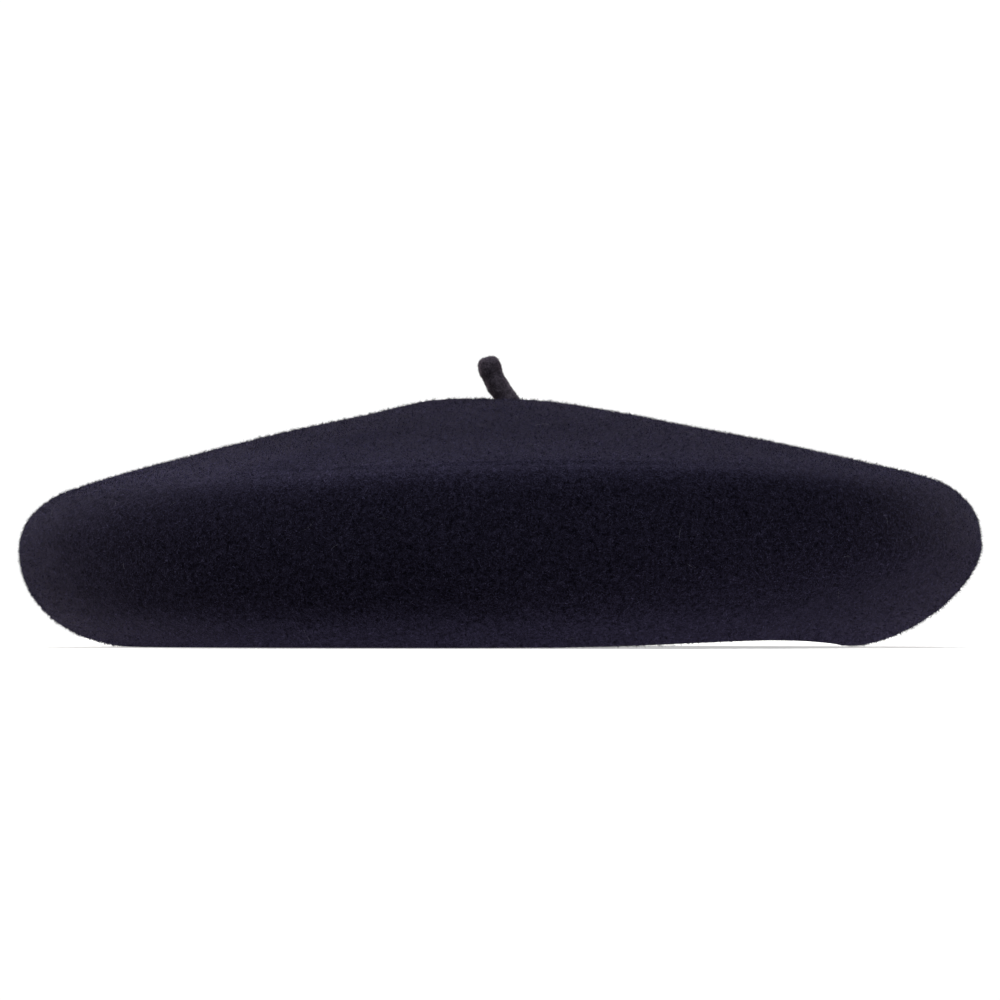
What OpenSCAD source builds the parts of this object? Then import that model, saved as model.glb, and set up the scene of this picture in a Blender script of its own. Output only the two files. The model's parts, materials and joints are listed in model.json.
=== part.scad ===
// Beret: one felted shell with a felt stalk, a leather sweatband at the head opening and a sewn satin lining.
// Frame: the origin is the centre of the head opening on the plane that the beret rests on, +Z is up,
// and +Y points to the back, where the sweatband's two ends meet. Millimetres.

/* [Head opening] */
// Radius inside the sweatband: half of the head's circumference over pi
head_r = 91; // [88:0.5:93]
// Height of the sweatband
band_h = 26; // [22:1:30]
// Thickness of the sweatband's leather
band_t = 1.0; // [0.8:0.1:1.2]

/* [Felt shell] */
// Largest outer radius
rim_r = 131; // [127:0.5:136]
// Height of the widest place
rim_z = 27; // [24:0.5:29]
// Height of the crown's centre
crown_z = 67.3; // [64:0.1:72]
// Thickness of the felt
felt_t = 2.5; // [2.2:0.1:2.8]
// Fall of the crown for each millimetre of radius
crown_slope = 0.208; // [0.19:0.002:0.22]
// Radius of the level part in the crown's middle
plateau_r = 16.8; // [12:0.2:20]
// Radius where the rounded shoulder is centred
shoulder_r = 105; // [101:0.5:107]
// Width of the flat hem that the beret rests on
hem_w = 4; // [3:0.5:5]

/* [Stalk] */
// Radius of the stem
stem_r = 2.75; // [2.4:0.05:2.8]
// Lean of the stem at its root, from upright
stem_lean = 34; // [25:1:36]
// Lean of the stem at its tip, from upright
tip_lean = 6.5; // [0:0.5:15]
// Radius that the stem bends to
stem_bend_r = 17; // [15:0.5:25]

/* [Lining and labels] */
// Thickness of the satin
satin_t = 0.5; // [0.4:0.1:0.6]
// How far the lining hangs under the crown in the middle
lining_sag = 3; // [2:0.5:5]
// Width of the woven label
label_w = 50; // [40:1:60]
// Height of the woven label
label_h = 24; // [20:1:30]
// Width of the care label
care_w = 18; // [14:1:20]
// Length of the care label
care_l = 22; // [16:1:24]

/* [Hidden] */

felt_navy = [0.13, 0.12, 0.18];
stalk_black = [0.12, 0.10, 0.12];
leather_black = [0.09, 0.08, 0.08];
satin_black = [0.10, 0.10, 0.13];
thread_navy = [0.16, 0.15, 0.24];
ribbon_navy = [0.11, 0.11, 0.20];
label_grey = [0.62, 0.62, 0.60];

thread_r = 0.25;
gap = 0.3;                       // between pieces of different bodies
sewn_gap = 0.1;                  // between pieces sewn to each other
slope_length = sqrt(1 + pow(crown_slope, 2));

hem_r = head_r + band_t + sewn_gap;
foot_r = hem_r + hem_w;
band_z = 0.4;
band_top = band_z + band_h;

// The shell's cross-section at depth d below its outer surface: a quarter ellipse under the rim,
// a part of an ellipse over it, and a cone that levels out in the middle and is tangent to it.
function crown_at(d, r) =
    crown_z - d * slope_length
    - crown_slope * (pow(pow(r, 3) + pow(plateau_r, 3), 1 / 3) - plateau_r);
function cone_at(d, r) = crown_z + crown_slope * (plateau_r - r) - d * slope_length;
function shoulder_a(d) = rim_r - shoulder_r - d;
function shoulder_b(d) =
    sqrt(pow(cone_at(d, shoulder_r) - rim_z, 2) - pow(crown_slope * shoulder_a(d), 2));
function shoulder_end(d) = atan(shoulder_b(d) / (shoulder_a(d) * crown_slope));
function over_rim(d, a) =
    [shoulder_r + shoulder_a(d) * cos(a), rim_z + shoulder_b(d) * sin(a)];
function under_rim(d, a) =
    [foot_r + (rim_r - foot_r - d) * cos(a), rim_z - (rim_z - d) * sin(a)];

arc_steps = 16;
crown_steps = 18;
function under_path(d, from = 90, to = 0) =
    [for (i = [0:arc_steps]) under_rim(d, from + (to - from) * i / arc_steps)];
function over_path(d, from, to) =
    [for (i = [0:arc_steps]) over_rim(d, from + (to - from) * i / arc_steps)];
function crown_path(d, sag = 0) =
    let (start = over_rim(d, shoulder_end(d))[0])
    [for (i = [1:crown_steps])
        let (r = start * (1 - i / crown_steps))
        [r, crown_at(d, r) - sag * (1 - pow(r / start, 2))]];
function reversed(path) = [for (i = [len(path) - 1:-1:0]) path[i]];
function tail(path) = [for (i = [1:len(path) - 1]) path[i]];

function shell_path(d) =
    concat(under_path(d), tail(over_path(d, 0, shoulder_end(d))), crown_path(d));

// The stalk turns about a ball in a shallow dimple in the crown.
foot_ball_r = 3.1;
pivot_above_crown = 1.6;
pivot = [0, 0, crown_z + pivot_above_crown];
tip_ball_r = 2.9;
stem_centre = pivot + stem_bend_r * [cos(stem_lean), 0, sin(stem_lean)];
stem_tip = stem_centre - stem_bend_r * [cos(tip_lean), 0, sin(tip_lean)];

// A straight stretch of thread from one point to another.
module thread(from, to) {
    along = to - from;
    length = norm(along);
    translate(from)
        rotate([0, acos(along[2] / length), atan2(along[1], along[0])])
            cylinder(h = length, r = thread_r, $fn = 24);
}

module ring(r_in, r_out, h) {
    difference() {
        cylinder(h = h, r = r_out, $fn = 180);
        translate([0, 0, -1]) cylinder(h = h + 2, r = r_in, $fn = 180);
    }
}

hem_bevel = 0.5;
module felt_shell() {
    color(felt_navy)
        difference() {
            rotate_extrude($fn = 180)
                polygon(concat(
                    shell_path(0),
                    reversed(shell_path(felt_t)),
                    [[hem_r + hem_bevel, felt_t], [hem_r, felt_t - hem_bevel],
                     [hem_r, hem_bevel], [hem_r + hem_bevel, 0]]));
            translate(pivot) sphere(r = foot_ball_r + gap, $fn = 72);
        }
}

module stalk() {
    color(stalk_black) {
        translate(pivot) sphere(r = foot_ball_r, $fn = 72);
        translate(stem_centre)
            rotate([90, 0, 0])
                rotate([0, 0, 180 + tip_lean])
                    rotate_extrude(angle = stem_lean - tip_lean, $fn = 180)
                        translate([stem_bend_r, 0]) circle(r = stem_r, $fn = 60);
        translate(stem_tip) sphere(r = tip_ball_r, $fn = 72);
    }
}

// Thread that ties the stalk down: a star of stitches and a knot on the inside of the crown.
star_r = 4.5;
star_count = 8;
knot_r = 1.4;
module stalk_stitches() {
    inner_z = crown_at(felt_t, 0) - thread_r;
    color(thread_navy) {
        for (i = [0:star_count - 1])
            let (a = 360 * i / star_count)
            thread([0, 0, inner_z], [star_r * cos(a), star_r * sin(a), inner_z]);
        translate([0, 0, inner_z - knot_r / 2]) sphere(r = knot_r, $fn = 32);
    }
}

join_gap = 0.4;
module sweatband() {
    color(leather_black)
        translate([0, 0, band_z])
            difference() {
                ring(head_r, head_r + band_t, band_h);
                translate([-join_gap / 2, 0, -1]) cube([join_gap, head_r + 10, band_h + 2]);
            }
}

// A zigzag along the sweatband's lower edge, which holds it to the felt.
zigzag_count = 72;
zigzag_low = 1.0;
zigzag_high = 3.4;
module sweatband_stitches() {
    step = 360 / zigzag_count;
    lean = step * 0.36;
    color(thread_navy)
        for (i = [0:zigzag_count - 1], side = [-1, 1])
            let (a = (i + 0.5) * step + side * step / 4,
                 from = a - side * lean / 2,
                 to = a + side * lean / 2)
            thread([head_r * cos(from), head_r * sin(from), band_z + zigzag_low],
                   [head_r * cos(to), head_r * sin(to), band_z + zigzag_high]);
}

// Cross stitches over the place where the sweatband's two ends meet.
join_stitch_w = 2.2;
join_stitch_pitch = 2.4;
join_stitch_count = 8;
module sweatband_join_stitches() {
    y = sqrt(pow(head_r, 2) - pow(join_stitch_w, 2));
    color(thread_navy)
        for (i = [0:join_stitch_count - 1])
            let (z = band_z + 5 + i * join_stitch_pitch, lean = (i % 2 == 0) ? 1 : -1)
            thread([-join_stitch_w, y, z - lean * 0.6], [join_stitch_w, y, z + lean * 0.6]);
}

// A flat bow of narrow ribbon on the sweatband's top edge, over the join.
ribbon_w = 4;
ribbon_t = 0.4;
loop_l = 10;
loop_d = 2.2;
tail_l = 11;
bow_y = head_r + 2.2;
bow_z = band_top + ribbon_w / 2 + 0.5;
knot_half = 1.6;
module stadium(length, d) {
    translate([d / 2, -d / 2]) square([length - d, d]);
    for (x = [d / 2, length - d / 2])
        translate([x, 0]) circle(d = d, $fn = 40);
}
module bow_loop() {
    linear_extrude(height = ribbon_w)
        difference() {
            stadium(loop_l, loop_d);
            translate([ribbon_t, 0]) stadium(loop_l - 2 * ribbon_t, loop_d - 2 * ribbon_t);
        }
}
module bow_tail() {
    rotate([0, 12, 0])
        translate([0, 0, -ribbon_w / 2]) cube([tail_l, ribbon_t, ribbon_w * 0.8]);
}
module bow_ribbon() {
    color(ribbon_navy)
        translate([0, bow_y, bow_z])
            for (side = [0, 1])
                mirror([side, 0, 0])
                    translate([knot_half + sewn_gap, 0, 0]) {
                        translate([0, 0, -ribbon_w / 2 + 0.4]) bow_loop();
                        translate([0, loop_d / 2 + sewn_gap, 0]) bow_tail();
                    }
}
module bow_knot() {
    half_h = ribbon_w / 2 + 0.5;
    color(ribbon_navy)
        translate([0, bow_y, bow_z])
            intersection() {
                translate([0, 0, -half_h]) cylinder(h = 2 * half_h, r = knot_half, $fn = 60);
                rotate([0, 90, 0]) cylinder(h = 2 * knot_half, r = half_h, center = true, $fn = 60);
            }
}

// The lining lies just inside the felt. Its crown disc and its side band meet at a seam over the rim.
lining_d = felt_t + sewn_gap + 0.2;
seam_angle = 35;
seam_half = 0.5;
function lining_crown_path(d) =
    concat(over_path(d, seam_angle + seam_half, shoulder_end(d)), crown_path(d, lining_sag));
function lining_side_path(d) =
    concat(under_path(d), tail(over_path(d, 0, seam_angle - seam_half)));
module lining_crown() {
    color(satin_black)
        rotate_extrude($fn = 180)
            polygon(concat(lining_crown_path(lining_d),
                           reversed(lining_crown_path(lining_d + satin_t))));
}
module lining_side() {
    edge_r = hem_r + 0.5;
    color(satin_black)
        rotate_extrude($fn = 180)
            polygon(concat(lining_side_path(lining_d),
                           reversed(lining_side_path(lining_d + satin_t)),
                           [[edge_r, lining_d + satin_t], [edge_r, lining_d]]));
}

function around(p, a) = [p[0] * cos(a), p[0] * sin(a), p[1]];
seam_stitch_count = 120;
module lining_seam_stitches() {
    d = lining_d + satin_t;
    low = over_rim(d, seam_angle - 3);
    high = over_rim(d, seam_angle + 3);
    color(thread_navy)
        for (i = [0:seam_stitch_count - 1])
            let (a = 360 * i / seam_stitch_count)
            thread(around(low, a), around(high, a));
}
hem_stitch_count = 90;
module lining_hem_stitches() {
    z = lining_d + satin_t;
    color(thread_navy)
        for (i = [0:hem_stitch_count - 1])
            let (a = 360 * i / hem_stitch_count)
            thread(around([hem_r + 1.2, z], a), around([hem_r + 3.4, z], a));
}

// A plain woven label, sewn flat to the lining under the crown.
label_t = 0.4;
label_y = 8;
function lining_under(r) =
    let (d = lining_d + satin_t, start = over_rim(d, shoulder_end(d))[0])
    crown_at(d, r) - lining_sag * (1 - pow(r / start, 2));
module label_layer(top, bottom) {
    rotate_extrude($fn = 180)
        polygon(concat(
            [for (r = [0:5:label_w]) [r, lining_under(r) - top]],
            [for (r = [label_w:-5:0]) [r, lining_under(r) - bottom]]));
}
module woven_label() {
    color(label_grey)
        intersection() {
            label_layer(sewn_gap, sewn_gap + label_t);
            translate([-label_w / 2, label_y - label_h / 2, 0])
                cube([label_w, label_h, crown_z]);
        }
}
label_stitch_l = 2;
label_stitch_inset = 1.2;
label_stitch_pitch = 3.4;
module label_stitch(p, along) {
    a = p - along * label_stitch_l / 2;
    b = p + along * label_stitch_l / 2;
    depth = sewn_gap + label_t;
    thread([a[0], a[1], lining_under(norm(a)) - depth], [b[0], b[1], lining_under(norm(b)) - depth]);
}
module woven_label_stitches() {
    half_w = label_w / 2 - label_stitch_inset;
    half_h = label_h / 2 - label_stitch_inset;
    across = floor(2 * half_w / label_stitch_pitch);
    down = floor(2 * half_h / label_stitch_pitch);
    color(thread_navy)
        for (side = [-1, 1]) {
            for (i = [0:across - 1])
                label_stitch([half_w * (2 * (i + 0.5) / across - 1), label_y + side * half_h], [1, 0]);
            for (i = [0:down - 1])
                label_stitch([side * half_w, label_y + half_h * (2 * (i + 0.5) / down - 1)], [0, 1]);
        }
}

// The care label hangs at the back from stitches in the lining and swings about its sewn edge.
care_t = 0.4;
care_bead_r = 0.4;
care_y = 112;
care_z = cone_at(lining_d + satin_t, care_y) - 2;
module care_label() {
    color(label_grey)
        translate([0, care_y, care_z]) {
            translate([-care_w / 2, -care_t / 2, -care_l]) cube([care_w, care_t, care_l]);
            rotate([0, 90, 0]) cylinder(h = care_w, r = care_bead_r, center = true, $fn = 40);
        }
}
care_stitch_count = 5;
module care_label_stitches() {
    low = care_z + care_bead_r + gap;
    high = cone_at(lining_d + satin_t, care_y);
    color(thread_navy)
        for (i = [0:care_stitch_count - 1])
            let (x = (i - (care_stitch_count - 1) / 2) * care_w / (care_stitch_count + 0.5))
            thread([x, care_y, low], [x, care_y, high]);
}

felt_shell();
stalk();
stalk_stitches();
sweatband();
sweatband_stitches();
sweatband_join_stitches();
bow_ribbon();
bow_knot();
lining_crown();
lining_side();
lining_seam_stitches();
lining_hem_stitches();
woven_label();
woven_label_stitches();
care_label();
care_label_stitches();
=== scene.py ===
import json
import math

import bpy
import numpy as np
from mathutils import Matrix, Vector, bvhtree, noise


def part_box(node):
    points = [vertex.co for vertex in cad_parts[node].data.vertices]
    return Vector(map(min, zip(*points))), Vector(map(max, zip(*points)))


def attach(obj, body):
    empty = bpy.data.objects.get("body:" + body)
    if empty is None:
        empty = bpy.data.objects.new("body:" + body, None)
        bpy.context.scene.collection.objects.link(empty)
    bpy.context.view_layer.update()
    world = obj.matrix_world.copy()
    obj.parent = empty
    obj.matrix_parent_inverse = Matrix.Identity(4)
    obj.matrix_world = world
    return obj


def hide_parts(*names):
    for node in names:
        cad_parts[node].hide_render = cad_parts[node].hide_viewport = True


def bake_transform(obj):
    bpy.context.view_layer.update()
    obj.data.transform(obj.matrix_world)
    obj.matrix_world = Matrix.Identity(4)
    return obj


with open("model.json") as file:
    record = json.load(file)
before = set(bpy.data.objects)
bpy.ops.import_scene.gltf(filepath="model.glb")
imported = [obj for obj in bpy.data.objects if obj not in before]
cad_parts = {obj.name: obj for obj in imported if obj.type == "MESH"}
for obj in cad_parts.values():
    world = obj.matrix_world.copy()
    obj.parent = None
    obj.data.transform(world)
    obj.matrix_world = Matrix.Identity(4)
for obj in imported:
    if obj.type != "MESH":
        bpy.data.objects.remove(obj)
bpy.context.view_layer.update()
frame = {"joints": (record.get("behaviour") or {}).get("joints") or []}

# A wool felt beret. Metres, in the CAD's frame: +Z is up and the origin is the centre of the head opening.
MM = 0.001
TURN = 2 * math.pi
SCENE = bpy.context.scene
rng = np.random.default_rng(57)

# Sizes that the frame gives.
RIM_R, _, CROWN_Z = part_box("felt_shell")[1]
band_low, band_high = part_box("sweatband")
BAND_OUT_R, BAND_Z, BAND_TOP = band_high.x, band_low.z, band_high.z
CARE_PIVOT = next(Vector(j["pos_m"]) for j in frame["joints"] if j["name"] == "care_label_swing")

# Sizes of the CAD model that it repeats.
FELT_T = 2.5 * MM
HEM_R = BAND_OUT_R + 0.1 * MM
FOOT_R = HEM_R + 4 * MM
SHOULDER_R = 105 * MM
RIM_Z = 27 * MM
PLATEAU_R = 16.8 * MM
BAND_IN_R = BAND_OUT_R - 1.0 * MM
THREAD_R = 0.25 * MM

# Where the crown's nap ends and the side's begins.
NAP_EDGE_R = 112 * MM


# ---- small tools

def in_scene(name, data):
    """A new object that shows a mesh, a lamp or a camera."""
    made = bpy.data.objects.new(name, data)
    SCENE.collection.objects.link(made)
    return made


def raw_mesh(name, points, faces):
    mesh = bpy.data.meshes.new(name)
    mesh.from_pydata([tuple(p) for p in points], [], [tuple(f) for f in faces])
    mesh.update()
    return mesh


def new_mesh(name, points, faces, material, smooth=True):
    """A mesh object from lists of points and faces."""
    mesh = raw_mesh(name, points, faces)
    mesh.validate()
    mesh.polygons.foreach_set("use_smooth", [smooth] * len(mesh.polygons))
    mesh.materials.append(material)
    return in_scene(name, mesh)


def finish_piece(piece, slot, *nodes, body="beret"):
    """A piece rides on a CAD body and may stand for CAD nodes. The slot is not used."""
    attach(piece, body)
    if nodes:
        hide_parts(*nodes)
    return piece


def smoothstep(low, high, x):
    t = np.clip((x - low) / (high - low), 0, 1)
    return t * t * (3 - 2 * t)


def bell(x, centre, width):
    """1 at the centre, falling off on both sides like a bell."""
    return np.exp(-((x - centre) / width) ** 2)


def turn_from(theta, centre):
    """The signed angle from centre to theta, from -pi to pi."""
    return (theta - centre + math.pi) % TURN - math.pi


def angles(count):
    return np.arange(count) * TURN / count


def polar(r, angle, z):
    """Points at a distance and a direction from the axis, and a height."""
    return np.stack(np.broadcast_arrays(r * np.cos(angle), r * np.sin(angle), z), -1)


def unit(v):
    return v / (np.linalg.norm(v, axis=-1)[..., None] + 1e-20)


# ---- materials

class Nodes:
    """Short calls for building a material's node tree."""

    def __init__(self, name):
        self.material = bpy.data.materials.new(name)
        self.material.use_nodes = True
        self.tree = self.material.node_tree
        self.shader = self.tree.nodes["Principled BSDF"]
        self.place = self.add("ShaderNodeTexCoord", {}).outputs["Object"]

    def feed(self, socket, value):
        """Give a socket another node's output, a colour, a vector or a number."""
        if isinstance(value, bpy.types.NodeSocket):
            self.tree.links.new(value, socket)
        elif socket.type == "RGBA":
            socket.default_value = (*value, 1.0)
        else:
            socket.default_value = value

    def add(self, kind, inputs, **settings):
        """A node with its settings made and its inputs fed."""
        node = self.tree.nodes.new(kind)
        for key, value in settings.items():
            setattr(node, key, value)
        for key, value in inputs.items():
            self.feed(node.inputs[key], value)
        return node

    def set(self, **values):
        for key, value in values.items():
            self.feed(self.shader.inputs[key.replace("_", " ")], value)

    def noise(self, scale, detail=2.0, roughness=0.5, distortion=0.0, place=None):
        inputs = {"Scale": scale, "Detail": detail, "Roughness": roughness, "Distortion": distortion,
                  "Vector": place or self.place}
        return self.add("ShaderNodeTexNoise", inputs).outputs["Fac"]

    def wave(self, scale, direction):
        inputs = {"Scale": scale, "Vector": self.place}
        return self.add("ShaderNodeTexWave", inputs, bands_direction=direction).outputs["Fac"]

    def axis(self, name):
        return self.add("ShaderNodeSeparateXYZ", {0: self.place}).outputs[name]

    def ramp(self, value, *stops):
        node = self.add("ShaderNodeValToRGB", {"Fac": value})
        while len(node.color_ramp.elements) < len(stops):
            node.color_ramp.elements.new(0.5)
        for element, (position, colour) in zip(node.color_ramp.elements, stops):
            element.position = position
            element.color = (*colour, 1.0)
        return node.outputs["Color"]

    def math(self, operation, a, b=0.0):
        return self.add("ShaderNodeMath", {0: a, 1: b}, operation=operation).outputs["Value"]

    def times(self, a, b):
        return self.math("MULTIPLY", a, b)

    def mix(self, fac, a, b, blend="MIX"):
        inputs = {0: fac, 6: a, 7: b}
        return self.add("ShaderNodeMix", inputs, data_type="RGBA", blend_type=blend).outputs[2]

    def bump(self, height, distance):
        """Relief, on top of the relief that is there already."""
        node = self.add("ShaderNodeBump", {"Strength": 1.0, "Distance": distance, "Height": height})
        normal = self.shader.inputs["Normal"]
        if normal.is_linked:
            self.feed(node.inputs["Normal"], normal.links[0].from_socket)
        self.feed(normal, node.outputs["Normal"])


def grey(value):
    return (value, value, value)


BLACK, WHITE = grey(0.0), grey(1.0)


def felt_material(name, dark, light, sheen=0.0, paint_light=True, grain=2300):
    """Brushed felt: pale and dark fibres in a fine speckle, with a slow mottle. With the painted light on,
    it is paler along the shoulder, mostly on the left, as a painted highlight, and along the hem, as
    painted light from the floor."""
    m = Nodes(name)
    speckle = m.noise(grain, detail=2, roughness=0.6, distortion=1.2)
    tufts = m.noise(900, detail=2, roughness=0.6)
    fibres = m.math("ADD", m.times(speckle, 0.75), m.times(tufts, 0.25))
    colour = m.ramp(fibres, (0.40, dark), (0.63, light))
    mottle = m.ramp(m.noise(600, detail=3), (0.3, (0.72, 0.72, 0.74)), (0.7, grey(1.12)))
    colour = m.mix(1.0, colour, mottle, blend="MULTIPLY")
    # Painted light: the paler band along the shoulder, mostly on the left, is a painted highlight, and the
    # paler band along the hem is painted light bounced up from the floor. Elsewhere the colour is darkened
    # to 0.68 of itself.
    if paint_light:
        flat = m.add("ShaderNodeVectorMath", {0: m.place, 1: (1, 1, 0)}, operation="MULTIPLY").outputs[0]
        length = m.add("ShaderNodeVectorMath", {0: flat}, operation="LENGTH").outputs["Value"]
        radius, height = m.times(length, 1 / (RIM_R * 1.1)), m.times(m.axis("Z"), 1 / CROWN_Z)
        across = m.math("ADD", m.times(m.axis("X"), 2.0), 0.5)
        band = m.ramp(radius, (0.50, BLACK), (0.80, WHITE), (0.86, WHITE), (0.90, BLACK))
        above = m.ramp(height, (0.60, BLACK), (0.68, WHITE))
        left = m.ramp(across, (0.34, WHITE), (0.68, grey(0.3)))
        hem = m.ramp(height, (0.02, WHITE), (0.17, BLACK))
        lighter = m.math("MAXIMUM", m.times(m.times(band, above), left), hem)
        colour = m.mix(lighter, m.mix(1.0, colour, grey(0.68), blend="MULTIPLY"), colour)
    m.bump(tufts, 0.15 * MM)
    m.bump(speckle, 0.20 * MM)
    m.set(Base_Color=colour, Roughness=0.95, Specular_IOR_Level=0.0)
    m.set(Sheen_Weight=sheen, Sheen_Roughness=0.3, Sheen_Tint=(0.72, 0.66, 0.80))
    return m.material


def leather_material():
    """Smooth hat leather: a fine pebbled grain, slow changes of gloss and faint creases."""
    m = Nodes("sweatband_leather")
    cells = m.add("ShaderNodeTexVoronoi", {"Scale": 1300, "Vector": m.place}, feature="DISTANCE_TO_EDGE")
    grain = m.ramp(cells.outputs["Distance"], (0.0, BLACK), (0.25, WHITE))
    pores = m.noise(5200, detail=2)
    lighter = m.noise(70, detail=4, roughness=0.6)
    m.set(Base_Color=m.ramp(lighter, (0.3, (0.010, 0.008, 0.0075)), (0.7, (0.020, 0.016, 0.0145))))
    m.set(Roughness=m.ramp(lighter, (0.3, grey(0.40)), (0.7, grey(0.56))))
    m.bump(grain, 0.05 * MM)
    m.bump(pores, 0.03 * MM)
    m.set(Specular_IOR_Level=0.45, Coat_Weight=0.08, Coat_Roughness=0.35)
    return m.material


def satin_material():
    """Lining satin: a fine twill line, long threads that change the gloss, and a soft sheen."""
    m = Nodes("lining_satin")
    turned = {"Vector": m.place, "Scale": (1, 9, 1), "Rotation": (0, 0, math.radians(33))}
    slubs = m.noise(420, detail=3, place=m.add("ShaderNodeMapping", turned).outputs["Vector"])
    m.set(Base_Color=m.ramp(slubs, (0.3, (0.011, 0.011, 0.020)), (0.7, (0.019, 0.019, 0.034))))
    m.set(Roughness=m.ramp(slubs, (0.3, grey(0.30)), (0.7, grey(0.42))))
    m.bump(m.wave(900, "DIAGONAL"), 0.02 * MM)
    m.set(Specular_IOR_Level=0.4, Sheen_Weight=0.06, Sheen_Roughness=0.4)
    return m.material


def thread_material():
    """Twisted sewing thread: fine bright fibres over a dark navy."""
    m = Nodes("sewing_thread")
    fibres = m.noise(5200, detail=2)
    m.set(Base_Color=m.ramp(fibres, (0.35, (0.012, 0.011, 0.026)), (0.7, (0.05, 0.048, 0.09))))
    m.bump(fibres, 0.03 * MM)
    m.set(Roughness=0.55, Specular_IOR_Level=0.4, Sheen_Weight=0.15)
    return m.material


def ribbon_material():
    """Grosgrain ribbon. Its ribs are in the mesh; the weave along them is here."""
    m = Nodes("grosgrain")
    weave = m.noise(3800, detail=2)
    m.set(Base_Color=m.ramp(weave, (0.3, (0.010, 0.010, 0.030)), (0.7, (0.024, 0.024, 0.062))))
    m.bump(weave, 0.025 * MM)
    m.set(Roughness=0.5, Specular_IOR_Level=0.4, Sheen_Weight=0.1)
    return m.material


def label_material(name, cloth, line, lines_at, axis):
    """A woven label: over and under threads of two shades, and a woven line near each end."""
    m = Nodes(name)
    height = m.times(m.wave(520, "X"), m.wave(640, axis))
    soil = m.noise(160, detail=3)
    shade = m.ramp(soil, (0.3, tuple(0.88 * c for c in cloth)), (0.7, cloth))
    woven = m.mix(m.times(height, 0.25), shade, tuple(0.55 * c for c in cloth))
    off_line = m.math("SUBTRACT", m.math("ABSOLUTE", m.axis("X")), lines_at)
    near = m.math("LESS_THAN", m.math("ABSOLUTE", off_line), 0.35 * MM)
    m.bump(height, 0.04 * MM)
    m.set(Base_Color=m.mix(near, woven, line), Roughness=0.7, Specular_IOR_Level=0.3, Sheen_Weight=0.1)
    return m.material


FELT = felt_material("wool_felt", (0.0026, 0.0024, 0.0045), (0.0290, 0.0262, 0.0500), sheen=0.035)
NAP = felt_material("wool_nap", (0.0030, 0.0027, 0.0048), (0.088, 0.080, 0.150), sheen=0.035, grain=1300)
# Painted light: the stalk is the same felt as the body. Its colours are painted several times paler so that
# it looks lit where the lamps leave it in shade.
STALK_FELT_PAINTED_LIT = felt_material("stalk_felt", (0.032, 0.027, 0.034), (0.100, 0.084, 0.108), paint_light=False)
STALK_NAP_PAINTED_LIT = felt_material("stalk_nap", (0.040, 0.034, 0.043), (0.145, 0.122, 0.157), paint_light=False)
HAIR = felt_material("stray_hair", (0.06, 0.06, 0.07), (0.26, 0.26, 0.30), paint_light=False)
LEATHER = leather_material()
SATIN = satin_material()
THREAD = thread_material()
RIBBON = ribbon_material()
LABEL = label_material("woven_label", (0.52, 0.51, 0.47), (0.03, 0.03, 0.08), 18.5 * MM, "Y")
CARE_CLOTH = label_material("care_label", (0.66, 0.66, 0.63), (0.30, 0.30, 0.32), 8.0 * MM, "Z")


# ---- the felt body

def around(theta, centre, width):
    """1 in a direction seen from above, in degrees, falling off on both sides of it."""
    return bell(turn_from(theta, math.radians(centre)), 0, math.radians(width))


def fullness(theta):
    """How square the underside is, seen in section: upright in front, nearly straight on the right."""
    return 2.1 + 0.9 * around(theta, -108, 42) - 0.62 * around(theta, -22, 42)


def sharpness(theta):
    """How sharp the shoulder is, seen in section: a crease in front, round on the left."""
    return 2.2 + 4.6 * around(theta, -74, 38) - 0.15 * around(theta, 180, 38) + 0.1 * around(theta, 0, 40)


def slope(theta):
    """The crown's fall for each metre of radius, which is least towards the front."""
    return 0.2125 - 0.055 * around(theta, -80, 64)


def droop(theta):
    """How much further the crown falls towards its edge: most on the left, a little on the right."""
    return 2.8 * MM * ((1 - np.cos(theta)) / 2) ** 3 + 0.9 * MM * ((1 + np.cos(theta)) / 2) ** 3


def rim_height(theta):
    return RIM_Z + 0.2 * MM + 0.4 * MM * np.cos(theta)


def hem_lift(theta):
    """Two low arches in the hem on the right, where it doesn't quite reach the table."""
    return 2.4 * MM * bell(np.abs(turn_from(theta, 0)), math.radians(38), math.radians(28))


def edge_slope(theta):
    return slope(theta) + 4 * droop(theta) / SHOULDER_R


def crown_height(theta, r):
    """The crown levels out in the middle, and past the shoulder's radius it goes on straight."""
    near = np.minimum(r, SHOULDER_R)
    fall = slope(theta) * (np.cbrt(near ** 3 + PLATEAU_R ** 3) - PLATEAU_R)
    fall = fall + droop(theta) * (near / SHOULDER_R) ** 4
    return CROWN_Z - fall - edge_slope(theta) * (r - near)


def handling_marks(r, theta):
    """The shallow ridge, hump and dent that handling leaves in the crown, as a change of height."""
    x, y = r * np.cos(theta), r * np.sin(theta)
    ridge = bell(turn_from(theta, math.radians(-124)), 0, math.radians(7))
    ridge = ridge * smoothstep(50 * MM, 75 * MM, r) * (1 - smoothstep(108 * MM, 122 * MM, r))
    hump = bell(np.hypot(x + 19 * MM, y), 0, 12 * MM)
    dent = bell(np.hypot(x - 22 * MM, y + 8 * MM), 0, 14 * MM)
    return 1.5 * MM * ridge + 1.1 * MM * hump - 0.4 * MM * dent


def lean(theta, height):
    """How far the side leans inward, at a height above the rim: more and more towards the shoulder."""
    return 1.3 * np.maximum(height, 0) ** 1.5 * around(theta, -80, 48)


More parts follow.
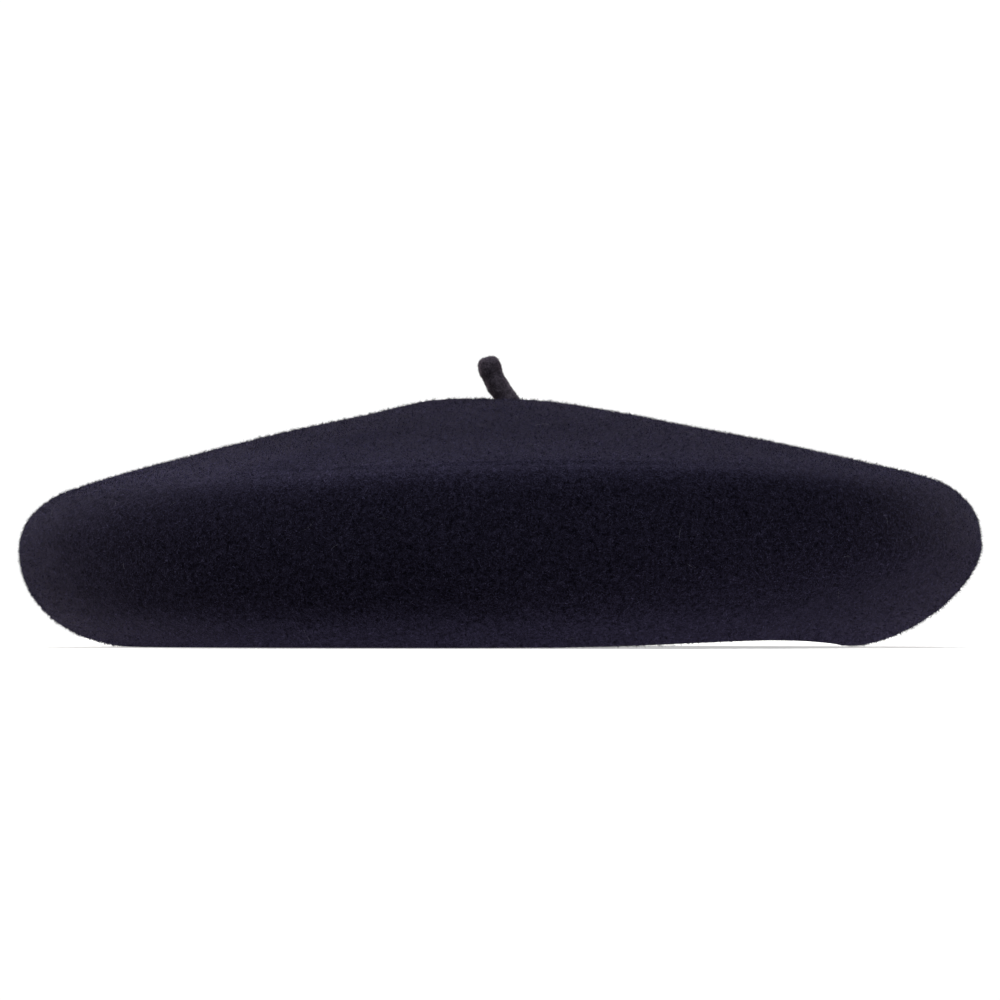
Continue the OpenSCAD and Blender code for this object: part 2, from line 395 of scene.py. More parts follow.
def section(t, theta, depth):
    """Radius and height of a surface that lies depth below the felt's outside. t goes from 0 at the foot
    to 1 at the rim, 2 where the shoulder meets the crown and 3 at the centre."""
    n, m, s, z_rim = fullness(theta), sharpness(theta), edge_slope(theta), rim_height(theta)
    a = math.pi / 2 * (1 - np.clip(t, 0, 1))
    under_r = FOOT_R + (RIM_R - FOOT_R - depth) * np.cos(a) ** (2 / n)
    under_z = z_rim - (z_rim - hem_lift(theta) - depth) * np.sin(a) ** (2 / n)
    half_w = RIM_R - SHOULDER_R - depth
    sunk = depth * np.sqrt(1 + s ** 2)
    rise = crown_height(theta, SHOULDER_R) - sunk - z_rim
    q = m / (m - 1)
    half_h = (rise ** q - (s * half_w) ** q) ** (1 / q)
    touch = (s * half_w / rise) ** (q / m)
    b = np.arccos(touch ** (m / 2)) * np.clip(t - 1, 0, 1)
    over_r = SHOULDER_R + half_w * np.cos(b) ** (2 / m)
    over_z = z_rim + half_h * np.sin(b) ** (2 / m)
    last_r = SHOULDER_R + half_w * touch - lean(theta, half_h * (1 - touch ** m) ** (1 / m))
    crown_r = last_r * (1 - np.clip(t - 2, 0, 1))
    crown_z = crown_height(theta, crown_r) - sunk
    r = np.where(t <= 1, under_r, np.where(t <= 2, over_r - lean(theta, over_z - z_rim), crown_r))
    z = np.where(t <= 1, under_z, np.where(t <= 2, over_z, crown_z))
    marks = smoothstep(1.3, 2.0, t) * handling_marks(r, theta)
    return r, z + marks


def surface(t, theta, depth):
    """Points of such a surface, and its outward normals."""
    t = np.broadcast_to(np.asarray(t, float), np.shape(theta))
    step = 0.004
    r, z = section(t, theta, depth)
    r0, z0 = section(np.clip(t - step, 0, 3), theta, depth)
    r1, z1 = section(np.clip(t + step, 0, 3), theta, depth)
    length = np.hypot(r1 - r0, z1 - z0) + 1e-12
    out, up = (z1 - z0) / length, (r0 - r1) / length
    return polar(r, theta, z), polar(out, theta, up)


def even_steps(theta, low, high, count):
    """Values of t from low to high, for each angle, at which the felt's rings lie evenly spaced."""
    fine = low + (high - low) * (1 - np.cos(np.linspace(0, math.pi, 400)[:, None])) / 2
    r, z = section(fine + 0 * theta, theta, 0)
    travelled = np.vstack([0 * theta, np.cumsum(np.hypot(np.diff(r, axis=0), np.diff(z, axis=0)), axis=0)])
    share = np.linspace(0, 1, count + 1)
    return np.stack([np.interp(share * way[-1], way, fine[:, 0]) for way in travelled.T], 1)


def uneven(points, normals):
    """Felt is never quite even: slow waves, lumps of a few millimetres and a fine pebble."""
    height = []
    for p in points:
        v = Vector(p)
        slow = 0.40 * MM * noise.noise(v * 28 + Vector((3, 1, 7)))
        lumps = 0.12 * MM * noise.noise(v * 150)
        pebble = 0.08 * MM * noise.noise(v * 420)
        height.append(slow + lumps + pebble)
    height = np.array(height) * smoothstep(0, 4 * MM, points[:, 2])
    return points + normals * height[:, None]


def bridge(rows):
    """Faces between rings. A ring has as many points as the next, twice as many or half as many,
    and the first or last may be a single point."""
    faces, starts = [], np.cumsum([0] + [len(row) for row in rows])
    for k in range(len(rows) - 1):
        a, b = len(rows[k]), len(rows[k + 1])
        i0, j0 = int(starts[k]), int(starts[k + 1])
        if a == 1:
            faces += [(i0, j0 + (j + 1) % b, j0 + j) for j in range(b)]
        elif b == 1:
            faces += [(i0 + i, i0 + (i + 1) % a, j0) for i in range(a)]
        elif a == b:
            faces += [(i0 + i, i0 + (i + 1) % a, j0 + (i + 1) % b, j0 + i) for i in range(a)]
        else:
            fine, coarse, few, turned = (i0, j0, b, 1) if a == 2 * b else (j0, i0, a, -1)
            for i in range(few):
                p, q, r = fine + 2 * i, fine + 2 * i + 1, fine + (2 * i + 2) % (2 * few)
                s, t = coarse + i, coarse + (i + 1) % few
                faces += [face[::turned] for face in ((p, q, s), (q, t, s), (q, r, t))]
    return faces


def crown_rings(count, step):
    """Where the crown's rings lie, and how many points each has: fewer as they get small."""
    rings, number = [], round(NAP_EDGE_R / step)
    for k in range(1, number):
        points, way_round = count, TURN * NAP_EDGE_R * (1 - k / number)
        while points > 24 and way_round / points < 0.6 * step:
            points //= 2
        rings.append((2 + k / number, points))
    return rings


def skin(depth, count, under, over, step):
    """Rings of a surface from the foot to the last ring before the centre: points and normals."""
    theta = angles(count)
    steps = np.vstack([even_steps(theta, 0, 1, under), even_steps(theta, 1, 2, over)[1:]])
    rings = [surface(t, theta, depth) for t in steps]
    return rings + [surface(t, angles(n), depth) for t, n in crown_rings(count, step)]


def felt_body():
    """One closed mesh: the outside, the hem's rounded edge and the inside."""
    count = 480
    outside = [uneven(*ring) for ring in skin(0, count, 40, 26, 1.35 * MM)]
    inside = [points for points, _ in skin(FELT_T, count // 2, 14, 12, 3 * MM)]
    outside.append(np.array([[0, 0, CROWN_Z]]))
    inside.append(np.array([[0, 0, CROWN_Z - FELT_T]]))
    theta = angles(count)
    edge = 0.9 * MM
    hem = []
    for r, z in ((FOOT_R - 1.3 * MM, 0), (FOOT_R - 2.6 * MM, 0), (HEM_R + edge, 0),
                 (HEM_R + 0.3 * edge, 0.3 * edge), (HEM_R, edge), (HEM_R, FELT_T - edge),
                 (HEM_R + 0.3 * edge, FELT_T - 0.3 * edge), (HEM_R + edge, FELT_T)):
        lift = hem_lift(theta) * (1 - 0.25 * (FOOT_R - r) / (FOOT_R - HEM_R))
        hem.append(polar(r, theta, z + lift))
    rows = outside[::-1] + hem + inside
    body = new_mesh("felt_body", np.concatenate(rows), [f[::-1] for f in bridge(rows)], FELT)
    return finish_piece(body, "wool_felt", "felt_shell")


# ---- the nap

def surface_samples(piece, number, keep):
    """Random points on a mesh, with their normals, where keep says so."""
    mesh = piece.data
    mesh.calc_loop_triangles()
    corners = np.zeros(len(mesh.loop_triangles) * 3, np.int32)
    mesh.loop_triangles.foreach_get("vertices", corners)
    points = np.zeros(len(mesh.vertices) * 3)
    mesh.vertices.foreach_get("co", points)
    tri = points.reshape(-1, 3)[corners.reshape(-1, 3)]
    across = np.cross(tri[:, 1] - tri[:, 0], tri[:, 2] - tri[:, 0])
    area = np.linalg.norm(across, axis=1)
    normal = across / (area[:, None] + 1e-20)
    area = area * keep(tri.mean(1), normal)
    pick = rng.choice(len(tri), number, p=area / area.sum())
    u, v = rng.random((2, number, 1))
    over = (u + v) > 1
    u, v = np.where(over, 1 - u, u), np.where(over, 1 - v, v)
    return tri[pick, 0] * (1 - u - v) + tri[pick, 1] * u + tri[pick, 2] * v, normal[pick]


def nap(name, piece, number, keep, length, lift, thick, material):
    """Short straight fibres, brushed round the beret, each a slim closed spike."""
    at, normal = surface_samples(piece, number, keep)
    onward = unit(np.cross([0, 0, 1.0], at))
    brushed = unit(np.cross(normal, rng.normal(size=at.shape)) + 0.25 * onward)
    angle = rng.uniform(*lift, (number, 1))
    along = unit(brushed * np.cos(angle) + normal * np.sin(angle))
    side = unit(np.cross(along, normal))
    third = np.cross(along, side)
    size = rng.uniform(*length, (number, 1))
    r = thick * rng.uniform(0.7, 1.2, (number, 1))
    root = at - normal * 0.06 * MM
    corners = [root + r * (math.cos(a) * side + math.sin(a) * third)
               for a in (0, TURN / 3, 2 * TURN / 3)]
    points = np.stack(corners + [root + along * size], 1).reshape(-1, 3)
    points[:, 2] = np.maximum(points[:, 2], 0.02 * MM)
    base = 4 * np.arange(number)[:, None, None]
    faces = (base + np.array([[0, 2, 1], [0, 1, 3], [1, 2, 3], [2, 0, 3]])).reshape(-1, 3)
    return new_mesh(name, points, faces, material, smooth=False)


def on_crown(at, normal):
    return (np.hypot(at[:, 0], at[:, 1]) < NAP_EDGE_R) & (normal[:, 2] > 0.3)


def on_side(at, normal):
    """The rim, the underside and the hem, but not the inside."""
    r = np.hypot(at[:, 0], at[:, 1])
    outward = (at[:, 0] * normal[:, 0] + at[:, 1] * normal[:, 1]) / r
    below = (normal[:, 2] < -0.2) & (at[:, 2] < RIM_Z) & (r > FOOT_R - 1 * MM)
    shoulder = (r >= NAP_EDGE_R) & (normal[:, 2] > 0.2)
    return below | shoulder | ((outward > 0.3) & (r > FOOT_R - 0.1 * MM))


def stray_hairs(piece, number):
    """Single pale hairs that lie curled on the felt."""
    at, normal = surface_samples(piece, number, lambda p, n: on_crown(p, n) | on_side(p, n))
    paths = []
    for p, n in zip(at, normal):
        along = unit(np.cross(n, rng.normal(size=3)))
        side = np.cross(n, along)
        length, curl = rng.uniform(1.5, 5.0) * MM, rng.normal() * 1.1
        lift = rng.uniform(0.05, 0.35)
        u = np.linspace(0, 1, 9)[:, None]
        out = n * (np.sin(u * math.pi) * lift * 0.25 + 0.02) * length
        path = p + length * (along * u + side * curl * u ** 2 * 0.5) + out
        path[:, 2] = np.maximum(path[:, 2], 0.05 * MM)
        paths.append(path)
    return threads("stray_hairs", paths, 0.02 * MM, HAIR, sides=3, plies=0)


# ---- threads and ribbons

def capped(rows):
    """Points and faces of rings that follow each other, with the first and the last ring filled."""
    points, count = np.concatenate(rows), len(rows[0])
    ends = [tuple(range(count))[::-1], tuple(range(len(points) - count, len(points)))]
    return points, bridge(rows) + ends


def sweep(path, across, up, outline, closed=False):
    """Points and faces of an outline carried along a path. across and up are its directions at each point,
    and outline(k) gives its points there, as pairs."""
    rows = []
    for k, p in enumerate(path):
        pairs = outline(k)
        rows.append(p + np.outer(pairs[:, 0], across[k]) + np.outer(pairs[:, 1], up[k]))
    if not closed:
        return capped(rows)
    total = len(rows) * len(rows[0])
    return np.concatenate(rows), [tuple(i % total for i in face) for face in bridge(rows + rows[:1])]


def merged(parts):
    """Points and faces of several parts as one."""
    points, faces, base = [], [], 0
    for p, f in parts:
        points.append(p)
        faces += [tuple(i + base for i in face) for face in f]
        base += len(p)
    return np.concatenate(points), faces


def travelled_along(path):
    """The distance along a path to each of its points."""
    return np.concatenate([[0], np.cumsum(np.linalg.norm(np.diff(path, axis=0), axis=1))])


def path_frames(path):
    """Two directions across a path at each of its points, which turn with it as little as they can."""
    along = unit(np.gradient(path, axis=0))
    across = np.zeros_like(path)
    start = np.cross(along[0], [0.31, 0.22, 0.93])
    across[0] = start / np.linalg.norm(start)
    for k in range(1, len(path)):
        a = across[k - 1] - along[k] * (across[k - 1] @ along[k])
        across[k] = a / np.linalg.norm(a)
    return across, np.cross(along, across)


def threads(name, paths, radius, material, sides=8, plies=2):
    """Round threads along paths. Plies are the strands that the thread is twisted from."""
    parts, turn = [], angles(sides)
    for path in paths:
        across, up = path_frames(path)
        travelled, last = travelled_along(path), len(path) - 1

        def outline(k):
            twist = travelled[k] / (1.1 * MM) * TURN
            lobes = 1 + (0.16 * np.cos(plies * turn - twist) if plies else 0)
            r = radius * lobes * (0.35 if k in (0, last) else 1)
            return polar(r, turn, 0)

        parts.append(sweep(path, across, up, outline))
    return new_mesh(name, *merged(parts), material)


def sewn(name, paths):
    return threads(name, paths, THREAD_R, THREAD)


def stitch(start, end, outward, steps=12, proud=0.10 * MM, sunk=0.28 * MM):
    """A stitch's path: out of the material, over its surface and in again."""
    u = np.linspace(0, 1, steps)[:, None]
    rise = np.sin(u * math.pi) ** 0.5 * (proud + sunk) - sunk
    return start + (end - start) * u + np.asarray(outward) * rise


# ---- the sweatband

def band_lift(angle, height):
    """How far the band follows the arches in the hem, at a height on the band."""
    return 0.75 * hem_lift(np.asarray(angle)) * (1 - height / (BAND_TOP - BAND_Z))


def sweatband():
    """A strip of leather with a rounded top edge and a creased line under it. Its ends meet at the back."""
    half_gap = 0.2 * MM / BAND_IN_R
    angle = np.linspace(half_gap, TURN - half_gap, 640) + math.pi / 2
    height, thick = BAND_TOP - BAND_Z, BAND_OUT_R - BAND_IN_R
    corner = 0.32 * MM
    inner = [(0.0, h) for h in np.linspace(corner, height - corner, 22)]
    outer_side = [(thick, h) for h in np.linspace(height - corner, corner, 8)]
    round_top = [(thick / 2 - thick / 2 * math.cos(a), height - corner + corner * math.sin(a))
                 for a in np.linspace(0.3, math.pi - 0.3, 6)]
    round_foot = [(thick / 2 + thick / 2 * math.cos(a), corner - corner * math.sin(a))
                  for a in np.linspace(0.3, math.pi - 0.3, 6)]
    outline = np.array(inner + round_top + outer_side + round_foot)
    rows = []
    for a in angle:
        depth, h = outline[:, 0].copy(), outline[:, 1]
        crease = bell(h, height - 2.2 * MM, 0.3 * MM) * (depth < thick / 2)
        wave = 0.16 * MM * math.sin(5 * a + 1) + 0.1 * MM * math.sin(13 * a)
        depth = depth + 0.13 * MM * crease + wave * smoothstep(0.5, 1, h / height)
        rows.append(polar(BAND_IN_R + depth, a, BAND_Z + h + band_lift(a, h)))
    points, faces = capped(rows)
    return new_mesh("leather_sweatband", points, [f[::-1] for f in faces], LEATHER)


def zigzag_stitches():
    """The zigzag that joins the leather to the felt, low on the band."""
    count, low, high = 72, BAND_Z + 1.0 * MM, BAND_Z + 3.4 * MM
    step = TURN / count
    paths = []
    for i in range(count):
        for side in (-1, 1):
            a = (i + 0.5) * step + side * step / 4
            lean = side * step * 0.18
            lift = band_lift(a, low - BAND_Z)
            start, end = polar(BAND_IN_R, a - lean, low + lift), polar(BAND_IN_R, a + lean, high + lift)
            paths.append(stitch(start, end, -polar(1, a, 0), steps=18))
    return sewn("zigzag_stitches", paths)


def join_stitches():
    """Cross stitches over the place where the leather's ends meet."""
    half, pitch = 2.2 * MM, 2.4 * MM
    y = math.sqrt(BAND_IN_R ** 2 - half ** 2)
    paths = []
    for i in range(8):
        z, lean = BAND_Z + 5 * MM + i * pitch, (0.6 if i % 2 == 0 else -0.6) * MM
        start, end = np.array([-half, y, z - lean]), np.array([half, y, z + lean])
        paths.append(stitch(start, end, (0, -1, 0), steps=24, proud=0.22 * MM))
    return sewn("join_stitches", paths)


# ---- the bow

def ribbon(path, width, thick, slant_end=0.0):
    """A grosgrain ribbon, standing on edge along a level path, with fine ribs across it."""
    along = unit(np.gradient(path, axis=0))
    across = unit(np.cross(along, [0, 0, 1.0]))
    up = np.cross(across, along)
    travelled, levels = travelled_along(path), np.linspace(-1, 1, 7)

    def outline(k):
        rib = 0.035 * MM * math.cos(travelled[k] / (0.42 * MM) * TURN)
        half = thick / 2 + rib
        one = [(half * (1 - 0.5 * abs(v) ** 6), v * width / 2) for v in levels]
        return np.array(one + [(-d, h) for d, h in one[::-1]])

    points, faces = sweep(path, across, up, outline)
    if slant_end:
        last = points[-2 * len(levels):]
        last += along[-1] * slant_end * (last[:, 2:] - last[:, 2].mean()) / (width / 2)
    return points, faces


def fine_path(corners, spacing):
    """A smooth path through points, at even steps: a Catmull-Rom curve."""
    p = np.array(corners, float)
    p = np.vstack([2 * p[0] - p[1], p, 2 * p[-1] - p[-2]])
    curve = []
    for a, b, c, d in zip(p[:-3], p[1:-2], p[2:-1], p[3:]):
        for u in np.linspace(0, 1, 24, endpoint=False):
            curve.append(0.5 * (2 * b + (c - a) * u + (2 * a - 5 * b + 4 * c - d) * u ** 2
                                + (3 * b - a - 3 * c + d) * u ** 3))
    curve.append(p[-2])
    curve = np.array(curve)
    length = travelled_along(curve)
    even = np.linspace(0, length[-1], max(4, round(length[-1] / spacing)))
    return np.stack([np.interp(even, length, curve[:, k]) for k in range(3)], 1)


def bow():
    """Two loops and two tails of narrow ribbon, gathered by a knot over the join in the band."""
    low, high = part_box("bow_ribbon")
    centre = np.array([0, (low.y + high.y) / 2, high.z - 2.6 * MM])
    width, thick, parts = 4 * MM, 0.34 * MM, []
    for side in (-1, 1):
        loop = [(1.3, -0.2, 0), (4.0, -0.95, 0.15), (8.0, -1.0, 0.3), (11.0, -0.35, 0.2),
                (10.8, 0.45, 0), (7.5, 0.75, -0.2), (4.0, 0.45, -0.1), (1.3, 0.15, 0)]
        tail = [(1.2, 0.45, -0.3), (4.5, 0.95, -0.7), (8.5, 1.1, -1.4), (12.2, 1.0, -2.1)]
        for shape, wide, slant in ((loop, width, 0), (tail, 0.8 * width, -1.2 * MM)):
            corners = [centre + MM * np.array([side * x, y, z]) for x, y, z in shape]
            parts.append(ribbon(fine_path(corners, 0.1 * MM), wide, thick, slant))
    loops = new_mesh("ribbon_bow", *merged(parts), RIBBON)
    turn, knot_y, knot_z = angles(180), 1.45, 2.35
    path = centre + MM * np.stack([0 * turn, knot_y * np.cos(turn), knot_z * np.sin(turn)], 1)
    out = unit(np.stack([0 * turn, np.cos(turn) / knot_y, np.sin(turn) / knot_z], 1))
    across = np.tile([1.0, 0, 0], (len(turn), 1))
    pinch = 1 - 0.2 * np.abs(np.cos(turn))

    def outline(k):
        rib = 0.04 * MM * math.cos(60 * turn[k])
        v = np.linspace(-1, 1, 9)
        folds = 0.12 * MM * np.cos(v * 9)
        half = 1.5 * MM * pinch[k]
        one = np.stack([v * half, 0.2 * MM + rib + folds - 0.12 * MM * v ** 4], 1)
        return np.vstack([one, np.stack([v[::-1] * half, -0.2 * MM + folds[::-1] * 0.5], 1)])

    knot = new_mesh("bow_wrap", *sweep(path, across, out, outline, closed=True), RIBBON)
    return loops, knot


# ---- the lining

LINING_D = FELT_T + 0.3 * MM
SATIN_T = 0.35 * MM
HANG = 1.7 * MM
LINING_POINTS = 240

# Where the lining's crown meets its side, as section() counts.
SEAM_T = 1.47


def closed_sheet(name, upper, lower, faces, material):
    """A thin closed sheet from the points of its two sides, joined round its edges."""
    edges = {(a, b): True for face in faces for a, b in zip(face, face[1:] + face[:1])}
    count = len(upper)
    closed = list(faces) + [tuple(i + count for i in face[::-1]) for face in faces]
    closed += [(b, a, a + count, b + count) for a, b in edges if (b, a) not in edges]
    return new_mesh(name, np.vstack([upper, lower]), closed, material)


def thickened(name, points, faces, depth, material):
    """A closed sheet whose other side lies at a depth below its points."""
    mesh = raw_mesh(name, points, faces)
    normals = np.zeros(len(points) * 3)
    mesh.vertices.foreach_get("normal", normals)
    bpy.data.meshes.remove(mesh)
    return closed_sheet(name, points, points - normals.reshape(-1, 3) * depth, faces, material)


def wrinkled(points, faces, pinned, growth, frames):
    """How far cloth cut a little too large moves from where it is laid, held at some of its points.
    A cloth simulation without gravity, run on a larger copy."""
    larger = 10
    trial = in_scene("cloth_trial", raw_mesh("cloth_trial", points * larger, faces))
    group = trial.vertex_groups.new(name="held")
    group.add([int(i) for i in pinned], 1.0, "REPLACE")
    cloth = trial.modifiers.new("cloth", "CLOTH")
    satin = cloth.settings
    satin.vertex_group_mass = "held"
    satin.shrink_min = -growth
    satin.bending_stiffness = 0.2
    satin.tension_stiffness = 20
    satin.compression_stiffness = 20
    satin.effector_weights.gravity = 0
    satin.quality = 5
    cloth.point_cache.frame_start, cloth.point_cache.frame_end = 1, frames
    for f in range(1, frames + 1):
        SCENE.frame_set(f)
    moved = np.zeros(len(points) * 3)
    trial.evaluated_get(bpy.context.evaluated_depsgraph_get()).data.vertices.foreach_get("co", moved)
    bpy.data.objects.remove(trial)
    SCENE.frame_set(1)
    return moved.reshape(-1, 3) / larger - points


def creases(points):
    """Soft fold lines, winding and crossing, as loose satin has: 0 beside them and 1 along them."""
    shift = Vector((5, 0, 1))
    lines = []
    for x, y, _ in points:
        place = Vector((x, y, 0))
        bent = place * 16 + 0.6 * noise.noise_vector(place * 11)
        wide = max(0.0, 1 - abs(noise.noise(bent)) / 0.17) ** 2
        narrow = max(0.0, 1 - abs(noise.noise(bent * 2.1 + shift)) / 0.15) ** 2
        lines.append(wide + 0.4 * narrow)
    return np.array(lines)


def lining_crown():
    """A disc of satin that hangs a little below the felt, with gathers, slow waves and a few soft folds."""
    over, most_bulge, crease_depth = 8, 1.3 * MM, 1.1 * MM
    rings = [(SEAM_T + (2 - SEAM_T) * k / over, LINING_POINTS) for k in range(over + 1)]
    rings += crown_rings(LINING_POINTS, 2.4 * MM)
    rows, normals = [], []
    for t, n in rings:
        theta = angles(n)
        sag = smoothstep(SEAM_T, 2.15, t)
        p, out = surface(t, theta, LINING_D)
        gathers = smoothstep(2.25, SEAM_T + 0.05, t) * smoothstep(SEAM_T, SEAM_T + 0.08, t)
        folds = 0.35 * MM * np.cos(72 * theta + 2 * np.sin(5 * theta)) * gathers
        rows.append(p - out * (HANG * sag + 0.4 * MM * gathers + folds)[:, None])
        normals.append(out)
    rows.append(np.array([[0, 0, CROWN_Z - LINING_D - HANG]]))
    normals.append(np.array([[0, 0, 1.0]]))
    points, normals = np.concatenate(rows), np.concatenate(normals)
    r = np.hypot(points[:, 0], points[:, 1])
    points[:, 2] -= 1.6 * MM * (1 - smoothstep(0, 100 * MM, r))
    faces = bridge(rows)
    moved = wrinkled(points, faces, pinned=range(LINING_POINTS), growth=0.012, frames=24)
    limit = most_bulge * smoothstep(0, 10 * MM, 124 * MM - r)
    bulge = (moved * normals).sum(1)
    points = points + normals * (limit * np.tanh(bulge / most_bulge))[:, None]
    loose = smoothstep(0, 20 * MM, 118 * MM - r)
    points = points - normals * (crease_depth * creases(points) * loose)[:, None]
    return thickened("satin_crown", points, faces, SATIN_T, SATIN)


def lining_side():
    """A band of satin from the seam over the rim to the hem, where it is gathered into small pleats."""
    rings, count = 44, 480
    theta = angles(count)
    rows = []
    for k in range(rings + 1):
        t = (SEAM_T - 0.02) * k / rings
        p, out = surface(t, theta, LINING_D)
        gather = (1 - smoothstep(0.1, 0.9, t)) * smoothstep(-0.02, 0.06, t)
        pleat = 0.5 + 0.5 * np.cos(96 * theta + 3 * np.sin(7 * theta) + 1.5 * np.sin(17 * theta))
        near_seam = smoothstep(SEAM_T - 0.35, SEAM_T - 0.1, t)
        near_seam = near_seam * (1 - smoothstep(SEAM_T - 0.08, SEAM_T - 0.02, t))
        folds = 0.5 + 0.5 * np.cos(72 * theta + 2 * np.sin(5 * theta))
        rows.append(p - out * (0.75 * MM * gather * pleat ** 1.5 + 0.5 * MM * near_seam * folds)[:, None])
    hem = polar(HEM_R + 0.8 * MM, theta, rows[0][:, 2])
    rows = [hem, (hem + rows[0]) / 2] + rows
    return thickened("satin_side", np.concatenate(rows), bridge(rows), SATIN_T, SATIN)


def seam_stitches():
    """Short stitches across the lining's seam."""
    paths, depth = [], LINING_D + SATIN_T + 0.05 * MM
    across_seam = np.array([SEAM_T - 0.05, SEAM_T + 0.05])
    for a in angles(120):
        (start, end), (out, _) = surface(across_seam, np.array([a, a]), depth)
        paths.append(stitch(start, end, -out, steps=14, proud=0.2 * MM))
    return sewn("seam_stitches", paths)


def hem_stitches():
    """Stitches that hold the lining's lower edge to the felt."""
    paths = []
    for a in angles(90):
        z = LINING_D + SATIN_T + 0.1 * MM + 0.7 * hem_lift(a)
        start, end = polar(HEM_R + 1.2 * MM, a, z), polar(HEM_R + 3.4 * MM, a, z)
        paths.append(stitch(start, end, (0, 0, 1), steps=14, proud=0.15 * MM))
    return sewn("hem_stitches", paths)


# ---- the labels

def under_surface(piece):
    """A function that gives the height of a piece's lower side above a point on the ground."""
    tree = bvhtree.BVHTree.FromObject(piece, bpy.context.evaluated_depsgraph_get())

    def height(x, y):
        return tree.ray_cast(Vector((x, y, 0.02)), Vector((0, 0, 1)))[0].z

    return height


def smooth_height(height, x, y, reach):
    """The lowest height near a point, so that stiff cloth bridges the wrinkles that it lies on."""
    nearby = [height(x + dx, y + dy) for dx in (-reach, 0, reach) for dy in (-reach, 0, reach)]
    return 0.5 * min(nearby) + 0.5 * sum(nearby) / 9


def woven_label(height):
    """A plain label with folded ends, laid on the lining under the crown."""
    low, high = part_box("woven_label")
    fold_w, columns, rows = 5 * MM, 84, 42
    upper, lower = [], []
    for y in np.linspace(low.y, high.y, rows):
        for x in np.linspace(low.x, high.x, columns):
            fold = 1 - smoothstep(fold_w - 0.3 * MM, fold_w, min(x - low.x, high.x - x))
            lie = smooth_height(height, x, y, 2 * MM) - 0.06 * MM
            upper.append((x, y, lie))
            lower.append((x, y, lie - (0.3 + 0.22 * fold) * MM))
    corners = [j * columns + i for j in range(rows - 1) for i in range(columns - 1)]
    faces = [(a, a + 1, a + columns + 1, a + columns) for a in corners]
    return closed_sheet("woven_patch", upper, lower, faces, LABEL)


def label_stitches(height):
    """Running stitches round the label."""
    low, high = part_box("woven_label")
    inset, pitch, length = 1.2 * MM, 3.4 * MM, 2 * MM
    half_w, half_h = (high.x - low.x) / 2 - inset, (high.y - low.y) / 2 - inset
    centre_y = (low.y + high.y) / 2
    paths = []

    def run(x, y, along):
        start = np.array([x, y, 0]) - np.array(along) * length / 2
        end = start + np.array(along) * length
        for p in (start, end):
            p[2] = smooth_height(height, p[0], p[1], 2 * MM) - 0.42 * MM
        paths.append(stitch(start, end, (0, 0, -1), steps=14, proud=0.2 * MM))

    across, down = math.floor(2 * half_w / pitch), math.floor(2 * half_h / pitch)
    for side in (-1, 1):
        for i in range(across):
            run(half_w * (2 * (i + 0.5) / across - 1), centre_y + side * half_h, (1, 0, 0))
        for i in range(down):
            run(side * half_w, centre_y + half_h * (2 * (i + 0.5) / down - 1), (0, 1, 0))
    return sewn("patch_stitches", paths)


def care_label():
    """A folded tab that hangs from its sewn edge: two layers with a rounded fold at the foot."""
    low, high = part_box("care_label")
    width, length = high.x - low.x, CARE_PIVOT.z - low.z
    u, columns = np.linspace(0, 1, 60), np.linspace(-1, 1, 25)
    drop, curl = length * u, 0.7 * MM * np.sin(u * math.pi * 0.9) * u
    gap, thick, fold = 0.10 * MM, 0.16 * MM, 0.25 * MM
    off = gap + thick / 2
    foot = [(-off * math.cos(a), length + fold * math.sin(a)) for a in np.linspace(0.4, 2.7, 7)]
    path = np.array([(-off, d) for d in drop] + foot + [(off, d) for d in drop[::-1]])
    path[:, 1] *= length / path[:, 1].max()
    along = unit(np.gradient(path, axis=0))
    out = np.stack([along[:, 1], -along[:, 0]], 1)
    rows = []
    for (y, d), (oy, od) in zip(path, out):
        bend = np.interp(d, drop, curl)
        cup = 0.5 * MM * (d / length) * columns ** 2
        row = []
        for sign in (-1, 1):
            yy = CARE_PIVOT.y + y + sign * oy * thick / 2 + bend + cup
            zz = CARE_PIVOT.z - d - sign * od * thick / 2 + 0 * columns
            line = np.stack([columns * width / 2, yy, zz], 1)
            row.append(line if sign < 0 else line[::-1])
        rows.append(np.concatenate(row))
    return new_mesh("care_tab", *capped(rows), CARE_CLOTH)


def care_stitches():
    """The stitches that the tab hangs from."""
    low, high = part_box("care_label_stitches")
    u, paths = np.linspace(0, 1, 12), []
    y, z = CARE_PIVOT.y + 0.12 * MM * np.sin(u * math.pi), low.z + (high.z - low.z) * u
    for x in np.linspace(low.x + THREAD_R, high.x - THREAD_R, 5):
        paths.append(np.stack([x + 0 * u, y, z], 1))
    return sewn("care_tab_stitches", paths)


# ---- the stalk

# The stalk's middle line as x and z, and its radius along that line, in millimetres.
STALK_LINE = ((3.4, 64.6), (2.2, 66.6), (1.0, 68.6), (-0.3, 70.5), (-1.55, 72.6), (-2.4, 74.4),
              (-2.85, 76.0))
STALK_RADII = ((0.0, 3.3), (0.22, 3.0), (0.32, 2.72), (0.5, 2.92), (0.68, 2.84), (0.8, 2.78),
               (0.93, 3.1), (1.0, 3.12))
STALK_TIP = 79.0


